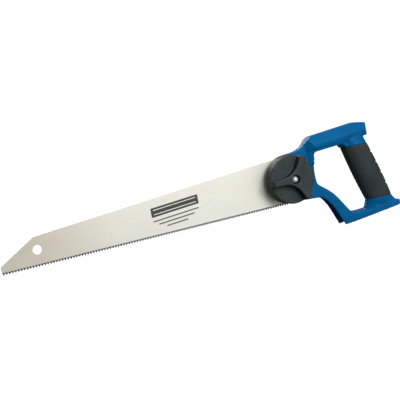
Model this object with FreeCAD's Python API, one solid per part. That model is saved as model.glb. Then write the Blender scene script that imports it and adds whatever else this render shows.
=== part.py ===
import FreeCAD, Part
import math
import os

# Hand saw with a replaceable blade. The blade's heel slides into a slot in the handle's neck, and a
# large three-armed knob on a coach bolt squeezes the slot shut on it.
# Every piece is drawn on the bench frame: x runs from the toe's tip along the tooth line to the
# handle, y from the knob's side to the back, z from the tooth tips to the blade's back.
# The last section moves all of it so that the hang hole's centre is the origin.

V = FreeCAD.Vector
ALONG_Y = V(0, 1, 0)

# ---- driving dimensions, in millimetres and degrees ----

# blade
tooth_pitch = 3.175
tooth_count = 108
tooth_depth = 1.8
blade_thickness = 0.9
toe_height = 9.4
toe_slope_length = 39.5
toe_slope_top = 32.9
back_angle = 4.6
toe_corner_radius = 1.5
hang_hole_diameter = 10.0
hang_hole_from_toe = 41.0
hang_hole_height = 18.6

# clamp
bolt_behind_teeth = 0.6
bolt_height = 30.9
bolt_diameter = 5.0
bolt_head_diameter = 13.0
bolt_head_height = 3.0
bolt_neck_growth = 0.4
tang_behind_bolt = 25.0
tang_end_low = 14.0
tang_corner_radius = 3.0
pin_diameter = 4.0
pin_behind_bolt = 15.0
pin_below_bolt = 10.0
washer_diameter = 24.0
washer_thickness = 1.5

# knob
knob_diameter = 57.2
knob_rim_height = 14.4
knob_arm_height = 9.1
knob_arm_width = 8.0
knob_web_radius = 24.0
knob_edge_radius = 1.2
knob_wall = 2.6
knob_top_thickness = 4.0
knob_boss_diameter = 17.0
knob_rib_width = 2.0
knob_rib_count = 6
knob_mouth_diameter = 10.3
knob_travel = 2.0
insert_across_flats = 8.0
insert_length = 8.0

# dome nut
nut_across_flats = 8.0
nut_hex_height = 4.0
nut_dome_diameter = 7.6
nut_dome_height = 6.0
nut_below_face = 1.0

# handle, measured from the bolt's axis
neck_width = 10.0
web_width = 19.0
handle_width = 24.0
cheek_radius = 25.0
lip_before_bolt = 9.0
roof_thickness = 1.6
roof_behind_bolt = 15.0
neck_floor = -31.2
neck_floor_end = 43.8

# beam
beam_front = 40.2
beam_knee = 104.2
beam_end = 119.2
beam_front_height = 43.5
beam_knee_height = 49.2
beam_end_height = 46.5
beam_floor_front = 27.4
beam_floor_back = 31.4
beam_top_width = 13.0
beam_widest_below_top = 11.0
beam_skirt_below_top = 25.0
beam_skirt_width = 17.0
beam_flank_start = 42.0
beam_taper = 11.0
sweep_foot = 24.0
sweep_foot_rise = 0.8

# hand hole
hole_front = 38.8
hole_top_front = 24.2
hole_top_back = 26.8
hole_corner_radius = 4.0
hole_lean = 2.0
web_foot = 10.0
hole_floor = -59.6

# lower arm and base
arm_root = 39.3
arm_root_height = -13.8
arm_foot = 77.5
arm_bend = 58.2
arm_bend_height = -28.8
shin_bend = 53.5
shin_bend_height = -42.0
base_tip = 66.4
base_tip_height = -70.6
base_end = 149.0
base_thickness = 6.4
base_sag = 106.9
base_sag_height = -66.4
base_end_height = -62.2
base_rise = 1.0
base_corner = 7.0
base_heel = 77.0
tip_half_width = 8.7
channel_depth = 6.0
channel_tip_depth = 11.0
channel_wall = 2.2

# grip
grip_depth = 34.6
grip_width = 28.0
grip_swell = 1.0
grip_low = -47.0
grip_high = 21.4
grip_lean = 18.1
grip_behind_bolt = 107.5
rubber_thickness = 2.6
groove_count = 4
groove_spacing = 14.0
groove_width = 2.4
groove_depth = 1.0
groove_top_margin = 12.6
seat_step = 0.3
collar_height = 10.0
flare_height = 10.5
flare_reach = 6.8
flare_shift = 1.4
flare_power = 1.3

# how the handle's outlines are rounded and joined
lip_round = 1.0
edge_round = 1.5
foot_round = 2.0
end_round = 3.0
throat_round = 8.0
blend_round = 20.0
sweep_round = 30.0
limb_round = 60.0
overlap = 2.0
far = 100.0

# fits
running_clearance = 0.05
slot_clearance = 0.1
roof_clearance = 0.2
pin_clearance = 0.2

# ---- places worked out from them ----

tooth_row = tooth_pitch * tooth_count
bolt_x = tooth_row + bolt_behind_teeth
bolt_z = bolt_height
bolt_r = bolt_diameter / 2
bolt_square = bolt_diameter + bolt_neck_growth
tang_end = bolt_x + tang_behind_bolt
pin_x = bolt_x + pin_behind_bolt
pin_z = bolt_z - pin_below_bolt
neck_half = neck_width / 2
web_half = web_width / 2
handle_half = handle_width / 2
knob_r = knob_diameter / 2
washer_face = -neck_half - washer_thickness
knob_back = washer_face - running_clearance
knob_rim = knob_back - knob_rim_height
knob_face = knob_rim - knob_arm_height
nut_tip = knob_face + nut_below_face
nut_base = nut_tip + nut_dome_height + nut_hex_height
mouth_floor = nut_base + knob_travel + running_clearance
insert_face = knob_back - insert_length
SQRT3 = math.sqrt(3.0)


def back_z(x):
    """Height of the blade's back edge above the tooth line."""
    return toe_slope_top + (x - toe_slope_length) * math.tan(math.radians(back_angle))


roof_height = back_z(bolt_x + roof_behind_bolt) + roof_thickness - bolt_z

# ---- shared ways of drawing ----

def rounded_wire(corners, level):
    """Closed outline in the x-z plane at y = level, from corners given as (x, z, radius)."""
    count = len(corners)
    starts = []
    ends = []
    middles = []
    for i in range(count):
        before = V(corners[i - 1][0], level, corners[i - 1][1])
        here = V(corners[i][0], level, corners[i][1])
        after = V(corners[(i + 1) % count][0], level, corners[(i + 1) % count][1])
        radius = corners[i][2]
        if radius == 0:
            starts.append(here)
            ends.append(here)
            middles.append(None)
            continue
        into = (before - here).normalize()
        out = (after - here).normalize()
        half = into.getAngle(out) / 2
        reach = radius / math.tan(half)
        bisector = (into + out).normalize()
        starts.append(here + into * reach)
        ends.append(here + out * reach)
        middles.append(here + bisector * (radius / math.sin(half) - radius))
    edges = []
    for i in range(count):
        if middles[i] is not None:
            edges.append(Part.Arc(starts[i], middles[i], ends[i]).toShape())
        follow = starts[(i + 1) % count]
        if (follow - ends[i]).Length > 1e-6:
            edges.append(Part.LineSegment(ends[i], follow).toShape())
    return Part.Wire(edges)


def plate(corners, y_low, y_high):
    """Flat plate with a rounded outline, from y_low to y_high."""
    return Part.Face(rounded_wire(corners, y_low)).extrude(V(0, y_high - y_low, 0))


def rod(x, z, radius, y_low, y_high):
    """Round bar or hole along y."""
    return Part.makeCylinder(radius, y_high - y_low, V(x, y_low, z), ALONG_Y)


def hexagon(x, z, across_flats, y_low, y_high):
    """Hexagonal bar or pocket along y, with a flat towards the blade's back."""
    side = across_flats / SQRT3
    points = []
    for i in range(7):
        turn = math.radians(60 * i)
        points.append(V(x + side * math.cos(turn), y_low, z + side * math.sin(turn)))
    return Part.Face(Part.makePolygon(points)).extrude(V(0, y_high - y_low, 0))


def about_bolt(points):
    """Corners given from the bolt's axis, moved to the bench frame."""
    return [(bolt_x + x, bolt_z + z, radius) for x, z, radius in points]


def width_plan(side, z_low, z_high):
    """Solid that limits the handle's width; side holds (x from the bolt, half width, radius)."""
    ring = about_bolt([(x, half - bolt_z, radius) for x, half, radius in side])
    ring += about_bolt([(x, -half - bolt_z, radius) for x, half, radius in reversed(side)])
    solid = plate(ring, z_low, z_high)
    solid.rotate(V(0, 0, 0), V(1, 0, 0), 90)
    return solid


# ---- blade ----

def sliding_slot(x, z, width, length):
    """Slot with a round end at (x, z), open in the way the blade's heel points."""
    bar = Part.makeBox(length, handle_width, width, V(x, -handle_half, z - width / 2))
    slot = bar.fuse(rod(x, z, width / 2, -handle_half, handle_half))
    slot.rotate(V(x, 0, z), ALONG_Y, -back_angle)
    return slot


def make_blade():
    """Sheet steel blade with its teeth, hang hole, bolt slot and pin notch."""
    corners = []
    for i in range(tooth_count):
        corners.append((i * tooth_pitch, tooth_depth, 0))
        corners.append(((i + 0.5) * tooth_pitch, 0, 0))
    corners.append((tooth_row, tooth_depth, 0))
    corners.append((tooth_row + bolt_behind_teeth / 2, tooth_depth, 0))
    corners.append((tang_end, tang_end_low, tang_corner_radius))
    corners.append((tang_end, back_z(tang_end), tang_corner_radius))
    corners.append((toe_slope_length, toe_slope_top, toe_corner_radius))
    corners.append((0, toe_height, toe_corner_radius))
    half = blade_thickness / 2
    blade = plate(corners, -half, half)
    blade = blade.cut(rod(hang_hole_from_toe, hang_hole_height, hang_hole_diameter / 2, -half, half))
    bolt_slot = sliding_slot(bolt_x, bolt_z, bolt_square + 2 * pin_clearance, 2 * tang_behind_bolt)
    pin_slot = sliding_slot(pin_x, pin_z, pin_diameter + 2 * pin_clearance, 2 * tang_behind_bolt)
    return blade.cut(bolt_slot).cut(pin_slot)


# ---- grip ----

def grip_centre(z):
    """How far behind the bolt the grip's middle lies, z above the bolt."""
    return grip_behind_bolt - z * math.tan(math.radians(grip_lean))


def oval(z, middle, half_depth, half_width):
    """Level elliptical outline, z above the bolt and middle behind it."""
    ellipse = Part.Ellipse(V(bolt_x + middle, 0, bolt_z + z), half_depth, half_width)
    return Part.Wire([ellipse.toShape()])


def grip_solid(inset):
    """The grip's leaning oval bar between its two ends, inset all round."""
    rings = []
    for t in (-1.0, -0.5, 0.0, 0.5, 1.0):
        z = (grip_low + grip_high) / 2 + t * (grip_high - grip_low) / 2
        swell = grip_swell * (1 - t * t) - inset
        rings.append(oval(z, grip_centre(z), grip_depth / 2 + swell, grip_width / 2 + swell))
    return Part.makeLoft(rings, True, False)


def make_grip_sleeve():
    """Rubber sleeve moulded over the handle's post, with grooves across the palm side."""
    sleeve = grip_solid(0)
    keep = grip_solid(groove_depth)
    for i in range(groove_count):
        z = grip_high - groove_top_margin - i * groove_spacing
        middle = bolt_x + grip_centre(z)
        band = Part.makeBox(grip_depth, grip_width + 4, groove_width,
                            V(middle + grip_depth / 8, -grip_width / 2 - 2, bolt_z + z))
        sleeve = sleeve.cut(band.cut(keep))
    return sleeve.cut(grip_solid(rubber_thickness))


def grip_post():
    """The plastic post inside the sleeve, its collar above and its flare into the base."""
    half_depth = grip_depth / 2 - seat_step
    half_width = grip_width / 2 - seat_step
    top = grip_high + collar_height
    collar = [
        oval(grip_high, grip_centre(grip_high), half_depth, half_width),
        oval(top, grip_centre(top), half_depth, handle_half - seat_step),
    ]
    flare = []
    for share in (0, 0.25, 0.6, 1):
        spread = share ** flare_power
        flare.append(oval(grip_low - share * flare_height, grip_centre(grip_low) + share * flare_shift,
                          half_depth + spread * flare_reach,
                          half_width - share * (half_width - handle_half + seat_step)))
    post = grip_solid(rubber_thickness).fuse(Part.makeLoft(collar, True, False))
    return post.fuse(Part.makeLoft(flare, True, False))


# ---- handle frame ----

def neck_plate():
    """Round cheeks with the lip over the blade's back, reaching back to the hand hole."""
    lip_x = bolt_x - lip_before_bolt
    outline = [
        (lip_x, bolt_z, 0),
        (lip_x, back_z(lip_x) - roof_clearance, lip_round),
        (bolt_x, back_z(bolt_x) + roof_thickness, blend_round),
        (bolt_x + roof_behind_bolt, bolt_z + roof_height, 0),
    ]
    outline += about_bolt([
        (beam_front, roof_height, 0),
        (hole_front + hole_lean, hole_top_front, 0),
        (hole_front, 0, limb_round),
        (arm_root, arm_root_height, throat_round),
        (arm_bend, arm_bend_height, 0),
        (neck_floor_end, neck_floor, 0),
        (0, -cheek_radius, 0),
    ])
    cheeks = rod(bolt_x, bolt_z, cheek_radius, -neck_half, neck_half)
    return plate(outline, -neck_half, neck_half).fuse(cheeks)


def beam_section():
    """Bar with the beam's cross-section, along x: narrow on top, widest lower down, turned in below."""
    top = beam_top_width / 2
    skirt = beam_skirt_width / 2
    ring = [
        (-top, 0, end_round),
        (top, 0, end_round),
        (handle_half, -beam_widest_below_top, throat_round),
        (skirt, -beam_skirt_below_top, 0),
        (-skirt, -beam_skirt_below_top, 0),
        (-handle_half, -beam_widest_below_top, throat_round),
    ]
    bar = plate(ring, 0, 2 * beam_end)
    bar.rotate(V(0, 0, 0), V(0, 0, 1), -90)
    return bar


def beam():
    """Top beam: swept up from the neck to full width, with leaning flanks and a round end."""
    block = plate(about_bolt([
        (roof_behind_bolt + overlap, roof_height - overlap, 0),
        (roof_behind_bolt, roof_height, 0),
        (sweep_foot, roof_height + sweep_foot_rise, sweep_round),
        (beam_front, beam_front_height, edge_round),
        (beam_knee, beam_knee_height, blend_round),
        (beam_end, beam_end_height, end_round),
        (beam_end, beam_floor_back, foot_round),
        (beam_front - beam_taper, beam_floor_front, 0),
    ]), -handle_half, handle_half)
    flank = [(0, neck_half, 0), (beam_flank_start - beam_taper, neck_half, edge_round)]
    flank += [(beam_flank_start, handle_half, edge_round), (beam_end + far, handle_half, 0)]
    taper = width_plan(flank, bolt_z - far, bolt_z + far)
    block = block.common(taper)
    round_end = [(0, handle_half, 0), (beam_end, handle_half, handle_half - overlap)]
    block = block.common(width_plan(round_end, bolt_z, bolt_z + far))
    slope = (beam_knee_height - beam_front_height) / (beam_knee - beam_front)
    section = beam_section()
    section.rotate(V(0, 0, 0), ALONG_Y, -math.degrees(math.atan(slope)))
    section.translate(V(bolt_x, 0, bolt_z + beam_front_height - beam_front * slope))
    return block.common(section)


def web():
    """Narrower band under the beam that rounds the hand hole's upper corners."""
    collar_front = grip_centre(grip_high) - grip_depth / 2
    outline = about_bolt([
        (hole_front - neck_half, roof_height + overlap, 0),
        (grip_centre(roof_height), roof_height + overlap, 0),
        (grip_centre(grip_high), grip_high, 0),
        (collar_front + edge_round, grip_high, 0),
        (collar_front - overlap, hole_top_back, hole_corner_radius),
        (hole_front + hole_lean, hole_top_front, hole_corner_radius),
        (hole_front + hole_lean / 4, web_foot, 0),
        (hole_front - neck_half, web_foot, 0),
    ])
    plan = [(0, neck_half, 0), (beam_flank_start - beam_taper, neck_half, throat_round)]
    plan += [(beam_flank_start + edge_round, web_half, throat_round), (beam_end, web_half, 0)]
    return plate(outline, -web_half, web_half).common(width_plan(plan, bolt_z, bolt_z + far))


def foot_plan(less):
    """Width of the lower arm and the base, less a wall: thin at the neck, full under the grip."""
    plan = [(0, neck_half - less, 0), (arm_root, neck_half - less, blend_round)]
    plan += [(base_tip, tip_half_width - less, blend_round)]
    plan += [(base_heel, tip_half_width + overlap - less, blend_round)]
    plan += [(base_sag - end_round, handle_half - less, blend_round)]
    plan += [(base_end, handle_half - less, base_corner)]
    return width_plan(plan, bolt_z - far, bolt_z + far)


def arm():
    """Lower arm: thin at the neck, sweeping down and widening on to the base."""
    outline = about_bolt([
        (pin_behind_bolt, 0, 0),
        (hole_front, 0, 0),
        (arm_root, arm_root_height, throat_round),
        (arm_bend, arm_bend_height, limb_round),
        (arm_foot, hole_floor + edge_round, edge_round),
        (base_sag, hole_floor, 0),
        (base_sag, base_sag_height + overlap, 0),
        (base_tip, base_tip_height + overlap / 2, 0),
        (shin_bend, shin_bend_height, limb_round),
        (neck_floor_end, neck_floor, throat_round),
        (pin_behind_bolt, neck_floor + overlap, 0),
    ])
    return plate(outline, -handle_half, handle_half).common(foot_plan(0))


def arm_channel():
    """Channel along the arm's underside, which keeps its walls even and runs out at the base's tip."""
    outline = about_bolt([
        (neck_floor_end, neck_floor - overlap, 0),
        (neck_floor_end + channel_depth, neck_floor - overlap, 0),
        (shin_bend + channel_depth, shin_bend_height, limb_round),
        (base_tip + channel_tip_depth, base_tip_height, 0),
        (base_tip + channel_tip_depth, base_tip_height - far, 0),
        (shin_bend - channel_depth, base_tip_height - far, 0),
        (neck_floor_end - channel_depth, neck_floor - far, 0),
    ])
    return plate(outline, -handle_half, handle_half).common(foot_plan(channel_wall))


def base():
    """Base plate under the arm and the grip, which sags to the front and turns up at the rear."""
    outline = about_bolt([
        (base_tip - overlap, base_tip_height + base_thickness, 0),
        (base_heel, hole_floor, 0),
        (base_sag, hole_floor + base_rise, 0),
        (base_end, base_end_height + base_thickness, foot_round),
        (base_end, base_end_height, foot_round),
        (base_sag, base_sag_height, limb_round),
        (base_tip, base_tip_height, lip_round),
    ])
    return plate(outline, -handle_half, handle_half).common(foot_plan(0))


def blade_slot():
    """Slot for the blade's heel: open forwards and downwards, roofed over the blade's back."""
    end = tang_end + slot_clearance + lip_round
    start = bolt_x - 2 * cheek_radius
    roof = back_z(end) + roof_clearance
    corners = [
        (start, back_z(start) + roof_clearance, 0),
        (end, roof, 0),
        (end, -far, 0),
        (start, -far, 0),
    ]
    half = blade_thickness / 2 + slot_clearance
    return plate(corners, -half, half)


def make_handle_frame():
    """The whole blue moulding with its slot, bolt hole and pin hole."""
    frame = neck_plate()
    for member in (beam(), web(), arm(), base(), grip_post()):
        frame = frame.fuse(member)
    frame = frame.cut(blade_slot()).cut(arm_channel())
    side = bolt_square / 2 + running_clearance
    square = Part.makeBox(2 * side, neck_half, 2 * side, V(bolt_x - side, 0, bolt_z - side))
    frame = frame.cut(square)
    frame = frame.cut(rod(bolt_x, bolt_z, bolt_r + running_clearance, -neck_half, 0))
    frame = frame.cut(rod(pin_x, pin_z, pin_diameter / 2, -neck_half, neck_half))
    return frame.removeSplitter()


# ---- knob ----

def knob_arms():
    """Raised three-armed grip: a disc less three finger wells."""
    disc = rod(bolt_x, bolt_z, knob_r, knob_face, knob_rim)
    apex = knob_arm_width / 2 / math.sin(math.radians(60))
    for direction in (0, 120, 240):
        far = 2 * knob_r
        wedge = [
            (bolt_x + apex, bolt_z, knob_web_radius),
            (bolt_x + apex + far / 2, bolt_z + far * SQRT3 / 2, 0),
            (bolt_x + apex + far * 2, bolt_z, 0),
            (bolt_x + apex + far / 2, bolt_z - far * SQRT3 / 2, 0),
        ]
        well = plate(wedge, knob_face - 1, knob_rim)
        well.rotate(V(bolt_x, 0, bolt_z), ALONG_Y, -direction)
        disc = disc.cut(well)
    top = [edge for edge in disc.Edges if edge.BoundBox.YMax < knob_face + 0.01]
    return disc.makeFillet(knob_edge_radius, top)


def make_clamp_knob():
    """Moulded knob: rim wall, raised arms, hollow back with ribs, seat for the threaded insert."""
    drum = rod(bolt_x, bolt_z, knob_r, knob_rim, knob_back)
    front = [edge for edge in drum.Edges if edge.BoundBox.YMax < knob_rim + 0.01]
    drum = drum.makeFillet(knob_edge_radius, front)
    hollow = rod(bolt_x, bolt_z, knob_r - knob_wall, knob_rim + knob_top_thickness, knob_back)
    hollow = hollow.cut(rod(bolt_x, bolt_z, knob_boss_diameter / 2, knob_rim, knob_back))
    for i in range(knob_rib_count):
        rib = Part.makeBox(knob_r, knob_rim_height - 2, knob_rib_width,
                           V(bolt_x, knob_rim, bolt_z - knob_rib_width / 2))
        rib.rotate(V(bolt_x, 0, bolt_z), ALONG_Y, 360 / knob_rib_count * i)
        hollow = hollow.cut(rib)
    knob = drum.cut(hollow).fuse(knob_arms())
    knob = knob.cut(rod(bolt_x, bolt_z, knob_mouth_diameter / 2, knob_face, mouth_floor))
    knob = knob.cut(rod(bolt_x, bolt_z, bolt_r + 0.5, knob_face, knob_back))
    knob = knob.cut(hexagon(bolt_x, bolt_z, insert_across_flats, insert_face, knob_back))
    return knob.removeSplitter()


def make_knob_insert():
    """Hexagonal brass bush, moulded into the knob's back, that runs on the bolt's thread."""
    bush = hexagon(bolt_x, bolt_z, insert_across_flats, insert_face, knob_back)
    return bush.cut(rod(bolt_x, bolt_z, bolt_r + running_clearance, insert_face, knob_back))


# ---- hardware ----

def make_dome_nut():
    """Chromed dome nut locked on the bolt's end, sunk in the knob's mouth."""
    hex_part = hexagon(bolt_x, bolt_z, nut_across_flats, nut_base - nut_hex_height, nut_base)
    dome_r = nut_dome_diameter / 2
    skirt_end = nut_tip + dome_r
    wall = rod(bolt_x, bolt_z, dome_r, skirt_end, nut_base - nut_hex_height)
    crown = Part.makeSphere(dome_r, V(bolt_x, skirt_end, bolt_z))
    nut = hex_part.fuse(wall).fuse(crown)
    return nut.cut(rod(bolt_x, bolt_z, bolt_r, nut_tip + dome_r, nut_base)).removeSplitter()


def make_clamp_bolt():
    """Coach bolt: domed head on the back cheek, square neck, shank forward into the dome nut."""
    shank = rod(bolt_x, bolt_z, bolt_r, nut_tip + nut_dome_diameter / 2, neck_half)
    side = bolt_square / 2
    square = Part.makeBox(bolt_square, neck_half - blade_thickness, bolt_square,
                          V(bolt_x - side, blade_thickness, bolt_z - side))
    head_r = bolt_head_diameter / 2
    ball_r = (head_r ** 2 + bolt_head_height ** 2) / (2 * bolt_head_height)
    ball = Part.makeSphere(ball_r, V(bolt_x, neck_half + bolt_head_height - ball_r, bolt_z))
    head = ball.common(rod(bolt_x, bolt_z, head_r, neck_half, neck_half + bolt_head_height))
    return shank.fuse(square).fuse(head).removeSplitter()


def make_thrust_washer():
    """Steel washer between the turning knob and the front cheek."""
    disc = rod(bolt_x, bolt_z, washer_diameter / 2, washer_face, -neck_half)
    return disc.cut(rod(bolt_x, bolt_z, bolt_r + running_clearance, washer_face, -neck_half))


def make_locating_pin():
    """Steel dowel across the slot, which the notch in the blade's heel slides on to."""
    return rod(pin_x, pin_z, pin_diameter / 2, -neck_half, neck_half)


# ---- write the pieces, with the hang hole's centre as the origin ----

pieces = {
    "blade": make_blade,
    "handle_frame": make_handle_frame,
    "grip_sleeve": make_grip_sleeve,
    "clamp_knob": make_clamp_knob,
    "knob_insert": make_knob_insert,
    "dome_nut": make_dome_nut,
    "clamp_bolt": make_clamp_bolt,
    "thrust_washer": make_thrust_washer,
    "locating_pin": make_locating_pin,
}
os.makedirs("parts", exist_ok=True)
for name, make in pieces.items():
    shape = make()
    shape.translate(V(-hang_hole_from_toe, 0, -hang_hole_height))
    print(name, shape.ShapeType, len(shape.Solids), shape.isValid(), round(shape.Volume))
    shape.exportStep("parts/" + name + ".step")
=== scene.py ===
import bpy
import math
from mathutils import Matrix, Vector


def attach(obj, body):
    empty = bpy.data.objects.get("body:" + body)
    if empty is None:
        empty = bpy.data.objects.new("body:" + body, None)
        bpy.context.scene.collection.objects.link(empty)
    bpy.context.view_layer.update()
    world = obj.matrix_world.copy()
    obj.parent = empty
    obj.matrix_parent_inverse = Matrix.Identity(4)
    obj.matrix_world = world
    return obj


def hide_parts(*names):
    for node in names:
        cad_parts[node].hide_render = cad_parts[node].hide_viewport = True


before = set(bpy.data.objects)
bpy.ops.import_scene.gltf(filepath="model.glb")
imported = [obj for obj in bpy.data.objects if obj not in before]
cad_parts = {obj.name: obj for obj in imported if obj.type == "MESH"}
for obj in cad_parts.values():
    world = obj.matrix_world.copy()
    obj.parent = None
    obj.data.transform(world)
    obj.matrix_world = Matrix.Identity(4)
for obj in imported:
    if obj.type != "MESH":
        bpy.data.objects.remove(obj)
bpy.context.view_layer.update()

# ---- Studio ----
# The saw is shown against white, seen from its toe's side and a little from above.
# The camera is rolled, so that the blade climbs to the right.
view_yaw = math.radians(20.45)
view_drop = math.radians(6.2524)
view_roll = math.radians(11.046)
camera_place = Vector((-0.13336, -0.87247, 0.11357))
lens_length = 73.8
white = (1, 1, 1, 1)
fill_strength = 0.12
backdrop_strength = 1.05
lamps_aim = Vector((0.22, 0, 0))
floor_place = (0, 0, -0.6)
floor_width = 12
camera_data = bpy.data.cameras.new("studio_camera")
camera_data.lens = lens_length
camera_data.sensor_width = 36
camera = bpy.data.objects.new("studio_camera", camera_data)
bpy.context.collection.objects.link(camera)
aim = Matrix.Rotation(-view_yaw, 4, "Z") @ Matrix.Rotation(math.pi / 2 - view_drop, 4, "X")
roll = Matrix.Rotation(-view_roll, 4, "Z")
camera.matrix_world = Matrix.Translation(camera_place) @ aim @ roll
bpy.context.scene.camera = camera
bpy.context.scene.view_settings.view_transform = "Standard"

room = bpy.data.worlds.new("white_room")
room.use_nodes = True
bpy.context.scene.world = room
sky = room.node_tree
fill = sky.nodes["Background"]
fill.inputs["Color"].default_value = white
fill.inputs["Strength"].default_value = fill_strength
backdrop = sky.nodes.new("ShaderNodeBackground")
backdrop.inputs["Color"].default_value = white
backdrop.inputs["Strength"].default_value = backdrop_strength
seen_directly = sky.nodes.new("ShaderNodeLightPath")
choose = sky.nodes.new("ShaderNodeMixShader")
sky.links.new(seen_directly.outputs["Is Camera Ray"], choose.inputs["Fac"])
sky.links.new(fill.outputs["Background"], choose.inputs[1])
sky.links.new(backdrop.outputs["Background"], choose.inputs[2])
sky.links.new(choose.outputs["Shader"], sky.nodes["World Output"].inputs["Surface"])

# Each softbox: where it stands, how wide it is, and its watts.
softboxes = {
    "key_softbox": ((0.5, -1.2, 0.6), 0.7, 12),
    "top_softbox": ((0.3, -0.1, 1.1), 0.6, 5),
    "blade_softbox": ((0.95, -1.35, -0.1), 1.5, 4.5),
    "rear_softbox": ((0.2, 1.1, 0.8), 1.0, 10),
}
for name, (place, width, watts) in softboxes.items():
    lamp_data = bpy.data.lights.new(name, "AREA")
    lamp_data.size = width
    lamp_data.energy = watts
    lamp = bpy.data.objects.new(name, lamp_data)
    bpy.context.collection.objects.link(lamp)
    lamp.location = place
    beam = lamps_aim - Vector(place)
    lamp.rotation_euler = beam.to_track_quat("-Z", "Y").to_euler()

bpy.ops.object.select_all(action="DESELECT")
bpy.ops.mesh.primitive_grid_add(size=floor_width, location=floor_place)
floor = bpy.context.object
floor.name = "floor"
floor.visible_diffuse = False
floor.visible_glossy = False
paper = bpy.data.materials.new("white_paper")
paper.use_nodes = True
paper_shader = paper.node_tree.nodes["Principled BSDF"]
paper_shader.inputs["Base Color"].default_value = (0.9, 0.9, 0.9, 1)
paper_shader.inputs["Roughness"].default_value = 0.9
paper_shader.inputs["Emission Color"].default_value = white
paper_shader.inputs["Emission Strength"].default_value = 1.0
floor.data.materials.append(paper)


# ---- Handle moulding ----
# One blue polypropylene moulding: cheeks, beam, lower arm, base and the post under the rubber.
# Its edges come out of the mould softly rounded, and its faces have a fine matt grain. The slot
# for the blade's heel is cut clean again after the edges are rounded.
merge_distance = 0.000002


def copy_of(node, name):
    """Piece that starts as a merged copy of a node's mesh."""
    bpy.ops.object.select_all(action="DESELECT")
    piece = bpy.data.objects.new(name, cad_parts[node].data.copy())
    bpy.context.collection.objects.link(piece)
    piece.matrix_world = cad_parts[node].matrix_world.copy()
    bpy.context.view_layer.objects.active = piece
    piece.select_set(True)
    piece.data.materials.clear()
    bpy.ops.object.mode_set(mode="EDIT")
    bpy.ops.mesh.select_all(action="SELECT")
    bpy.ops.mesh.remove_doubles(threshold=merge_distance)
    bpy.ops.mesh.normals_make_consistent(inside=False)
    bpy.ops.object.mode_set(mode="OBJECT")
    return piece


def finish_modifiers(piece):
    """Apply every modifier on a piece."""
    bpy.ops.object.select_all(action="DESELECT")
    piece.select_set(True)
    bpy.context.view_layer.objects.active = piece
    for modifier in list(piece.modifiers):
        bpy.ops.object.modifier_apply(modifier=modifier.name)


def soften(piece, grain, passes):
    """Round a moulding's edges: an even skin of small faces, relaxed a few times."""
    skin = piece.modifiers.new("skin", "REMESH")
    skin.mode = "VOXEL"
    skin.voxel_size = grain
    relax = piece.modifiers.new("relax", "SMOOTH")
    relax.factor = 0.5
    relax.iterations = passes
    finish_modifiers(piece)
    bpy.ops.object.shade_smooth()


class Finish:
    """A material with the few kinds of node that the saw's finishes are made of."""

    def __init__(self, name, roughness, metallic=0.0, specular=0.5):
        self.material = bpy.data.materials.new(name)
        self.material.use_nodes = True
        self.nodes = self.material.node_tree.nodes
        self.links = self.material.node_tree.links
        self.shader = self.nodes["Principled BSDF"]
        self.shader.inputs["Roughness"].default_value = roughness
        self.shader.inputs["Metallic"].default_value = metallic
        self.shader.inputs["Specular IOR Level"].default_value = specular
        self.place = self.nodes.new("ShaderNodeTexCoord").outputs["Object"]

    def noise(self, scale, stretch=(1, 1, 1), detail=4.0):
        """Cloudy pattern; scale is in patches per metre, stretched along some axes."""
        mapping = self.nodes.new("ShaderNodeMapping")
        mapping.inputs["Scale"].default_value = stretch
        pattern = self.nodes.new("ShaderNodeTexNoise")
        pattern.inputs["Scale"].default_value = scale
        pattern.inputs["Detail"].default_value = detail
        self.links.new(self.place, mapping.inputs["Vector"])
        self.links.new(mapping.outputs["Vector"], pattern.inputs["Vector"])
        return pattern.outputs["Fac"]

    def ramp(self, value, low, high, start=0.0, end=1.0):
        """Colour that goes from low to high while the value goes from start to end."""
        ramp = self.nodes.new("ShaderNodeValToRGB")
        ramp.color_ramp.elements[0].position = start
        ramp.color_ramp.elements[0].color = low
        ramp.color_ramp.elements[1].position = end
        ramp.color_ramp.elements[1].color = high
        self.links.new(value, ramp.inputs["Fac"])
        return ramp.outputs["Color"]

    def span(self, value, start, end, low=0.0, high=1.0):
        """Number that goes from low to high while the value goes from start to end."""
        span = self.nodes.new("ShaderNodeMapRange")
        span.inputs["From Min"].default_value = start
        span.inputs["From Max"].default_value = end
        span.inputs["To Min"].default_value = low
        span.inputs["To Max"].default_value = high
        self.links.new(value, span.inputs["Value"])
        return span.outputs["Result"]

    def reckon(self, operation, first, second):
        """Result of one sum on two sockets, or on a socket and a number."""
        sum_node = self.nodes.new("ShaderNodeMath")
        sum_node.operation = operation
        self.links.new(first, sum_node.inputs[0])
        if isinstance(second, (int, float)):
            sum_node.inputs[1].default_value = second
        else:
            self.links.new(second, sum_node.inputs[1])
        return sum_node.outputs["Value"]

    def blend(self, share, under, over):
        """One colour laid over another, where share is 1."""
        mix = self.nodes.new("ShaderNodeMix")
        mix.data_type = "RGBA"
        self.links.new(share, mix.inputs["Factor"])
        for socket, colour in (("A", under), ("B", over)):
            target = [s for s in mix.inputs if s.identifier == socket + "_Color"][0]
            if isinstance(colour, tuple):
                target.default_value = colour
            else:
                self.links.new(colour, target)
        return [s for s in mix.outputs if s.identifier == "Result_Color"][0]

    def bump(self, height, depth):
        """Relief of a given depth in metres."""
        relief = self.nodes.new("ShaderNodeBump")
        relief.inputs["Distance"].default_value = depth
        self.links.new(height, relief.inputs["Height"])
        self.links.new(relief.outputs["Normal"], self.shader.inputs["Normal"])

    def wear(self, socket, value):
        """Feed a pattern to one of the shader's own sockets."""
        self.links.new(value, self.shader.inputs[socket])

    def split(self):
        """The x, y and z of the place on the piece."""
        parts = self.nodes.new("ShaderNodeSeparateXYZ")
        self.links.new(self.place, parts.inputs["Vector"])
        return parts.outputs["X"], parts.outputs["Y"], parts.outputs["Z"]


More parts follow.
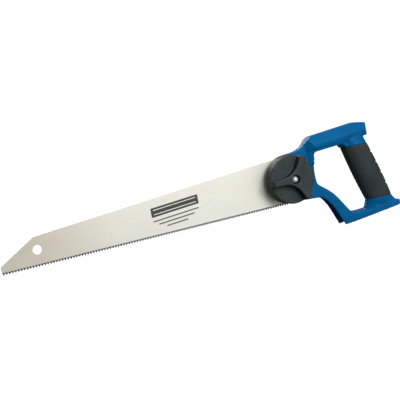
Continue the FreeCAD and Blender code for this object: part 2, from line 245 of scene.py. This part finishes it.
def fit(piece, finish, body, slot, *nodes):
    """Give a piece its finish, attach it to the empty of the body it rides on, and hide the nodes
    it stands for.
    """
    piece.data.materials.append(finish.material)
    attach(piece, body)
    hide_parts(*nodes)


handle_grain = 0.0008
handle_passes = 4
crease_angle = math.radians(50)
slot_width = 0.0011
slot_back = 0.3277
slot_roof = 0.0408
back_slope = math.radians(4.6)
cutter_length = 0.1
cutter_floor = -0.05
dark_blue = (0.0001, 0.098, 0.270, 1)
mid_blue = (0.0003, 0.128, 0.340, 1)
scuffed_blue = (0.01, 0.17, 0.40, 1)
scuff_share = 0.25

handle = copy_of("handle_frame", "handle_moulding")
soften(handle, handle_grain, handle_passes)
bpy.ops.object.select_all(action="DESELECT")
bpy.ops.mesh.primitive_cube_add(size=1, location=(0, 0, 0))
slot_cutter = bpy.context.object
for corner in slot_cutter.data.vertices:
    along = slot_back if corner.co.x > 0 else slot_back - cutter_length
    roof = slot_roof - (slot_back - along) * math.tan(back_slope)
    corner.co = (along, corner.co.y * slot_width, roof if corner.co.z > 0 else cutter_floor)
cut = handle.modifiers.new("slot", "BOOLEAN")
cut.operation = "DIFFERENCE"
cut.solver = "EXACT"
cut.object = slot_cutter
finish_modifiers(handle)
bpy.ops.object.shade_smooth_by_angle(angle=crease_angle)
bpy.data.objects.remove(slot_cutter)

blue = Finish("blue_moulding", 0.38, specular=0.25)
blue.shader.inputs["Specular Tint"].default_value = (0.2, 0.6, 1.0, 1)
cloud = blue.noise(45, detail=3.0)
tone = blue.ramp(cloud, dark_blue, mid_blue, start=0.3, end=0.7)
scuffs = blue.span(blue.noise(260, stretch=(0.35, 1, 1), detail=6.0), 0.66, 0.74)
faint_scuffs = blue.reckon("MULTIPLY", scuffs, scuff_share)
blue.wear("Base Color", blue.blend(faint_scuffs, tone, scuffed_blue))
blue.wear("Roughness", blue.span(blue.noise(380, detail=5.0), 0.3, 0.7, low=0.33, high=0.5))
blue.bump(blue.noise(2300, detail=2.0), depth=0.00004)
fit(handle, blue, "handle", "blue_plastic", "handle_frame")


# ---- Grip sleeve ----
# Thermoplastic rubber, moulded over the post: matt, nearly black, with a dusty bloom and a fine
# pebbled skin. The four grooves cross the palm's side.
sleeve_grain = 0.0006
sleeve_passes = 3
dark_rubber = (0.026, 0.034, 0.037, 1)
dusty_rubber = (0.046, 0.058, 0.062, 1)
pebbles_per_metre = 1100
sleeve = copy_of("grip_sleeve", "rubber_sleeve")
soften(sleeve, sleeve_grain, sleeve_passes)
rubber = Finish("matt_rubber", 0.72, specular=0.22)
bloom = rubber.noise(70, stretch=(1, 1, 0.5), detail=5.0)
rubber.wear("Base Color", rubber.ramp(bloom, dark_rubber, dusty_rubber, start=0.3, end=0.75))
rubber.wear("Roughness", rubber.span(rubber.noise(500), 0.3, 0.7, low=0.6, high=0.82))
pebbles = rubber.nodes.new("ShaderNodeTexVoronoi")
pebbles.inputs["Scale"].default_value = pebbles_per_metre
rubber.links.new(rubber.place, pebbles.inputs["Vector"])
rubber.bump(pebbles.outputs["Distance"], depth=0.00012)
fit(sleeve, rubber, "handle", "black_rubber", "grip_sleeve")


# ---- Blade ----
# Cold-rolled spring steel, ground and lacquered, with hardened tooth tips that the heat left
# dark. Its teeth are set to both sides in turn. A plain printed mark stands on the front face.
toe_tip = -0.041
tooth_pitch = 0.003175
tooth_line = -0.0186
tooth_set = 0.00028
gullet_height = 0.0018
gullet_grind = 0.0008
level_margin = 0.00002
dark_height = 0.0034
shaded_toe_steel = (0.74, 0.67, 0.54, 1)
bright_steel = (0.92, 0.93, 0.83, 1)
worn_steel = (0.86, 0.85, 0.76, 1)
streak_steel = (0.70, 0.70, 0.63, 1)
burnt_tip = (0.008, 0.009, 0.010, 1)
burnt_root = (0.16, 0.17, 0.18, 1)
blade = copy_of("blade", "set_blade")
for corner in blade.data.vertices:
    if corner.co.z < tooth_line + level_margin:
        tooth = round((corner.co.x - toe_tip) / tooth_pitch - 0.5)
        corner.co.y += tooth_set if tooth % 2 else -tooth_set
    elif abs(corner.co.z - tooth_line - gullet_height) < level_margin:
        corner.co.z += gullet_grind
steel = Finish("ground_steel", 0.45, metallic=0.35)
along, across, up = steel.split()
grind = steel.noise(60, stretch=(1.2, 60, 60), detail=6.0)
patches = steel.noise(16, stretch=(0.7, 1, 1.6), detail=3.0)
# Painted shade: the steel is painted darker and warmer towards the toe, where the light falls
# off.
toe_shaded_tone = steel.ramp(along, shaded_toe_steel, bright_steel, start=0.0, end=0.09)
worn = steel.blend(steel.span(patches, 0.35, 0.7, high=0.5), toe_shaded_tone, worn_steel)
streaked = steel.blend(steel.span(grind, 0.45, 0.75, high=0.35), worn, streak_steel)
above_tips = steel.span(up, tooth_line, tooth_line + dark_height)
tips = steel.ramp(above_tips, burnt_tip, burnt_root, start=0.6, end=0.95)
burnt = steel.span(above_tips, 0.80, 1.0, low=1.0, high=0.0)
coloured = steel.blend(burnt, streaked, tips)

# The mark: one wide bar with two pale rules through it, and three short rules below, all lying
# along the blade's back. Heights are above the row's origin, at the mark's middle.
mark_middle = 0.1605
mark_slope = math.radians(4.2)
bar_height = 0.0116
bar_width = 0.058
bar_thickness = 0.0106
pale_rule_heights = (0.0141, 0.0091)
pale_rule_width = 0.052
pale_rule_thickness = 0.0009
short_rules = ((0.0016, 0.056), (-0.0028, 0.044), (-0.0072, 0.026))
short_rule_thickness = 0.0013
front_side = -0.0002
ink_black = (0.022, 0.024, 0.024, 1)
from_middle = steel.reckon("SUBTRACT", along, mark_middle)
climb = steel.reckon("MULTIPLY", from_middle, math.tan(mark_slope))
mark_height = steel.reckon("SUBTRACT", up, climb)


def printed_bar(height, width, thickness):
    """Mask of one printed bar, centred at the given height."""
    inside_x = steel.reckon("LESS_THAN", steel.reckon("ABSOLUTE", from_middle, 0.0), width / 2)
    level = steel.reckon("ABSOLUTE", steel.reckon("SUBTRACT", mark_height, height), 0.0)
    return steel.reckon("MULTIPLY", inside_x, steel.reckon("LESS_THAN", level, thickness / 2))


ink = printed_bar(bar_height, bar_width, bar_thickness)
for height in pale_rule_heights:
    ink = steel.reckon("SUBTRACT", ink, printed_bar(height, pale_rule_width, pale_rule_thickness))
for height, width in short_rules:
    ink = steel.reckon("MAXIMUM", ink, printed_bar(height, width, short_rule_thickness))
front_only = steel.reckon("LESS_THAN", across, front_side)
ink = steel.reckon("MULTIPLY", ink, front_only)
ink = steel.reckon("MULTIPLY", ink, steel.span(steel.noise(900), 0.3, 0.36, low=0.75, high=0.97))
steel.wear("Base Color", steel.blend(ink, coloured, ink_black))
steel.wear("Metallic", steel.span(ink, 0.0, 1.0, low=0.35, high=0.0))
steel.wear("Roughness", steel.span(grind, 0.3, 0.7, low=0.38, high=0.54))
steel.bump(grind, depth=0.00002)
fit(blade, steel, "blade", "blade_steel", "blade")


# ---- Clamp knob ----
# Glass-filled nylon, moulded in a dark grey with a fine spark-eroded texture. It has three
# raised arms, and a sunk mouth in which the dome nut sits.
knob_grain = 0.0005
knob_passes = 3
dark_nylon = (0.025, 0.037, 0.037, 1)
pale_nylon = (0.037, 0.053, 0.053, 1)
painted_shade_nylon = (0.007, 0.009, 0.010, 1)
painted_shade_share = 0.85
knob = copy_of("clamp_knob", "nylon_knob")
soften(knob, knob_grain, knob_passes)
nylon = Finish("grey_nylon", 0.5, specular=0.25)

# The walls carry painted shade: they are painted darker than the faces, as where the light
# doesn't reach. These are the depths, along y, at which the painted shade starts and ends its
# change: under the arms' faces, above the rim's face, and down the rim's wall.
under_faces = (-0.0294, -0.0286)
above_rim = (-0.0222, -0.0214)
down_wall = (-0.0203, -0.0190)
depth = nylon.split()[1]
clouds = nylon.noise(90)
skin_tone = nylon.ramp(clouds, dark_nylon, pale_nylon, start=0.3, end=0.7)
well_top = nylon.span(depth, *under_faces)
well_foot = nylon.span(depth, *above_rim, low=1.0, high=0.0)
rim_wall = nylon.span(depth, *down_wall)
# Painted shade: the arms' and the rim's walls get a darker colour, standing in for the shade that
# falls in them.
painted_wall_shade = nylon.reckon("MAXIMUM", nylon.reckon("MULTIPLY", well_top, well_foot), rim_wall)
painted_wall_shade = nylon.reckon("MULTIPLY", painted_wall_shade, painted_shade_share)
nylon.wear("Base Color", nylon.blend(painted_wall_shade, skin_tone, painted_shade_nylon))
nylon.wear("Roughness", nylon.span(nylon.noise(420), 0.3, 0.7, low=0.4, high=0.58))
nylon.bump(nylon.noise(1900, detail=2.0), depth=0.00006)
fit(knob, nylon, "knob", "knob_plastic", "clamp_knob")


# ---- Dome nut, bolt, washer, pin and insert ----
# The dome nut is turned and chromed, and the coach bolt, washer and pin are zinc plated. The
# insert is a brass bush, moulded into the knob's back. The nut's and the bolt's edges are broken.
bevel_from = math.radians(40)
round_below = math.radians(35)
nut_edge = 0.0001
bolt_edge = 0.00015
dull_chrome = (0.80, 0.82, 0.85, 1)
bright_chrome = (0.95, 0.96, 0.97, 1)
dull_zinc = (0.50, 0.52, 0.55, 1)
bright_zinc = (0.70, 0.71, 0.72, 1)
spangles_per_metre = 900
dark_brass = (0.55, 0.36, 0.11, 1)
bright_brass = (0.78, 0.56, 0.22, 1)


def machined(node, name, broken_edge):
    """Turned or headed metal piece: a copy of the node with its sharp edges broken."""
    piece = copy_of(node, name)
    edges = piece.modifiers.new("edges", "BEVEL")
    edges.width = broken_edge
    edges.segments = 2
    edges.limit_method = "ANGLE"
    edges.angle_limit = bevel_from
    finish_modifiers(piece)
    bpy.ops.object.shade_smooth_by_angle(angle=round_below)
    return piece


chrome = Finish("chrome_plate", 0.25, metallic=0.35)
smears = chrome.noise(700, detail=3.0)
chrome.wear("Base Color", chrome.ramp(smears, dull_chrome, bright_chrome, start=0.35, end=0.65))
chrome.wear("Roughness", chrome.span(smears, 0.3, 0.7, low=0.15, high=0.35))
nut = machined("dome_nut", "chromed_nut", nut_edge)
fit(nut, chrome, "handle", "chrome", "dome_nut")

zinc = Finish("zinc_plate", 0.35, metallic=0.95)
spangle = zinc.nodes.new("ShaderNodeTexVoronoi")
spangle.inputs["Scale"].default_value = spangles_per_metre
zinc.links.new(zinc.place, spangle.inputs["Vector"])
zinc.wear("Base Color", zinc.ramp(spangle.outputs["Distance"], dull_zinc, bright_zinc))
zinc.wear("Roughness", zinc.span(zinc.noise(600), 0.3, 0.7, low=0.25, high=0.45))
zinc.bump(zinc.noise(1400), depth=0.00003)
bolt = machined("clamp_bolt", "plated_bolt", bolt_edge)
fit(bolt, zinc, "handle", "zinc_steel", "clamp_bolt")

brass = Finish("turned_brass", 0.3, metallic=0.95)
streaks = brass.noise(1200, stretch=(1, 3, 1))
brass.wear("Base Color", brass.ramp(streaks, dark_brass, bright_brass, start=0.3, end=0.7))
brass.wear("Roughness", brass.span(streaks, 0.3, 0.7, low=0.2, high=0.42))

# The washer, the pin and the insert keep their CAD shapes and only change their finish.
bare_pieces = {"thrust_washer": zinc, "locating_pin": zinc, "knob_insert": brass}
for node, finish in bare_pieces.items():
    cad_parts[node].data.materials.clear()
    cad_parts[node].data.materials.append(finish.material)
